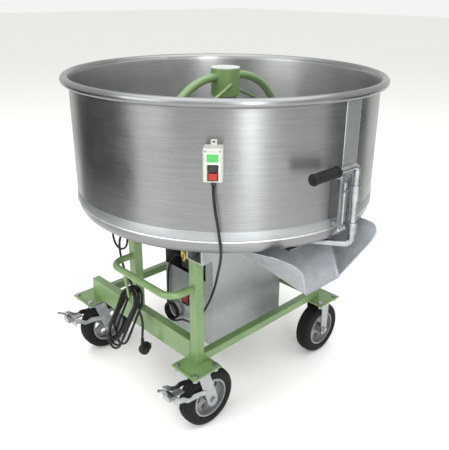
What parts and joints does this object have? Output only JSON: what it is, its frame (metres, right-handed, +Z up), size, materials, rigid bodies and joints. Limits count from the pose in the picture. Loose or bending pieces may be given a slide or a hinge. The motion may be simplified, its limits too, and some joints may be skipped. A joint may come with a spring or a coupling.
{
  "type": "mobile pan mixer",
  "caption": "Mobile pan mixer: an open steel drum with arched arms, floor blades and wall scrapers, a lever gate over a chute, and a housed motor, on a tube frame with casters.",
  "frame": {"origin": "centre of the footprint, on the floor", "axes": "+X from the push handle across to the fixed wheels, +Y away from the discharge chute, +Z up the mixing shaft"},
  "size_m": [1.0718, 1.098, 1.098],
  "materials": {
    "frame_paint": "gloss green enamel",
    "stainless": "brushed, satin",
    "band_steel": "matte",
    "galvanised": "dull galvanised sheet",
    "zinc_plated": "bright zinc plating",
    "yellow_zinc": "yellow zinc plating",
    "hub_cap_plastic": "matte light grey",
    "dark_casting": "painted dark grey",
    "motor_black": "satin black paint",
    "bearing_steel": "ground",
    "gear_steel": "machined and oiled",
    "rim_metal": "silver grey paint",
    "tyre_rubber": "matte",
    "grip_rubber": "satin",
    "cord_rubber": "satin",
    "switch_plastic": "matte light grey",
    "button_black": "satin",
    "button_red": "satin"
  },
  "bodies": {
    "frame": {"cross_beams": "frame_paint", "side_rails": "frame_paint", "posts": "frame_paint", "caster_plates": "frame_paint", "push_handle": "frame_paint", "drum_brackets": "galvanised", "drum_wall": "stainless", "drum_band": "band_steel", "drum_pan": "stainless", "centre_column": "stainless", "shaft_bearings": "bearing_steel", "gear_case": "dark_casting", "gear_cover": "dark_casting", "motor_body": "motor_black", "switch_panel": "galvanised", "housing_near_panel": "galvanised", "housing_rear_panels": "galvanised", "housing_floor": "galvanised", "eye_bolt": "yellow_zinc", "hex_bolts": "zinc_plated", "switch_base": "switch_plastic", "switch_cover": "switch_plastic", "black_fittings": "cord_rubber", "chute": "galvanised", "lever_bracket": "zinc_plated", "fixed_forks": "zinc_plated", "swivel_plates": "zinc_plated", "mains_cord": "cord_rubber", "mains_hank": "cord_rubber", "mains_plug": "cord_rubber", "switch_cord": "cord_rubber", "switch_coil": "cord_rubber"},
    "gate": {"gate_lever": "zinc_plated", "lever_grip": "grip_rubber", "gate_plate": "stainless"},
    "agitator": {"agitator_hub": "frame_paint", "hub_cap": "hub_cap_plastic", "mixing_arms": "frame_paint", "mixing_blades": "frame_paint", "wall_scrapers": "frame_paint", "drive_shaft": "bearing_steel", "output_gear": "gear_steel"},
    "motor_rotor": {"pinion_shaft": "gear_steel"},
    "on_push": {"on_button": "button_black"},
    "off_push": {"off_button": "button_red"},
    "rocker": {"rocker_switch": "button_red"},
    "near_caster": {"near_fork": "zinc_plated", "near_axle": "zinc_plated"},
    "near_wheel": {"near_rim": "rim_metal", "near_tyre": "tyre_rubber"},
    "near_brake": {"near_pedal": "zinc_plated"},
    "left_caster": {"left_fork": "zinc_plated", "left_axle": "zinc_plated"},
    "left_wheel": {"left_rim": "rim_metal", "left_tyre": "tyre_rubber"},
    "left_brake": {"left_pedal": "zinc_plated"},
    "right_wheel": {"right_rim": "rim_metal", "right_tyre": "tyre_rubber"},
    "back_wheel": {"back_rim": "rim_metal", "back_tyre": "tyre_rubber"}
  },
  "joints": [
    {"name": "agitator_spin", "type": "hinge", "parent": "frame", "child": "agitator", "pos_m": [0, 0.013, 0.8], "axis": [0, 0, 1], "continuous": true},
    {"name": "pinion_spin", "type": "hinge", "parent": "frame", "child": "motor_rotor", "pos_m": [-0.093, 0.013, 0.5], "axis": [0, 0, 1], "continuous": true},
    {"name": "gate_swing", "type": "hinge", "parent": "frame", "child": "gate", "pos_m": [0, -0.532, 0.7], "axis": [0, 0, 1], "range_deg": [0, 70]},
    {"name": "near_swivel", "type": "hinge", "parent": "frame", "child": "near_caster", "pos_m": [-0.372, -0.251, 0.215], "axis": [0, 0, 1], "continuous": true},
    {"name": "near_spin", "type": "hinge", "parent": "near_caster", "child": "near_wheel", "pos_m": [-0.334, -0.251, 0.1], "axis": [0, 1, 0], "continuous": true},
    {"name": "near_brake_press", "type": "hinge", "parent": "near_caster", "child": "near_brake", "pos_m": [-0.4873, -0.251, 0.178], "axis": [0, 1, 0], "range_deg": [-18, 0], "stiffness_Nm_per_rad": 0.8, "springref_deg": 5.73},
    {"name": "left_swivel", "type": "hinge", "parent": "frame", "child": "left_caster", "pos_m": [-0.372, 0.349, 0.215], "axis": [0, 0, 1], "continuous": true},
    {"name": "left_spin", "type": "hinge", "parent": "left_caster", "child": "left_wheel", "pos_m": [-0.334, 0.349, 0.1], "axis": [0, 1, 0], "continuous": true},
    {"name": "left_brake_press", "type": "hinge", "parent": "left_caster", "child": "left_brake", "pos_m": [-0.4873, 0.349, 0.178], "axis": [0, 1, 0], "range_deg": [-18, 0], "stiffness_Nm_per_rad": 0.8, "springref_deg": 5.73},
    {"name": "right_spin", "type": "hinge", "parent": "frame", "child": "right_wheel", "pos_m": [0.254, -0.251, 0.1], "axis": [0, 1, 0], "continuous": true},
    {"name": "back_spin", "type": "hinge", "parent": "frame", "child": "back_wheel", "pos_m": [0.254, 0.349, 0.1], "axis": [0, 1, 0], "continuous": true},
    {"name": "on_press", "type": "slide", "parent": "frame", "child": "on_push", "axis": [0.7314, 0.682, 0], "range_m": [0, 0.003], "stiffness_N_per_m": 250},
    {"name": "off_press", "type": "slide", "parent": "frame", "child": "off_push", "axis": [0.7314, 0.682, 0], "range_m": [0, 0.003], "stiffness_N_per_m": 250},
    {"name": "rocker_tilt", "type": "hinge", "parent": "frame", "child": "rocker", "pos_m": [-0.1815, 0.024, 0.286], "axis": [0, 1, 0], "range_deg": [-10, 0]}
  ],
  "couplings": [
    {"joint": "pinion_spin", "follows": "agitator_spin", "ratio": -4.1667}
  ]
}
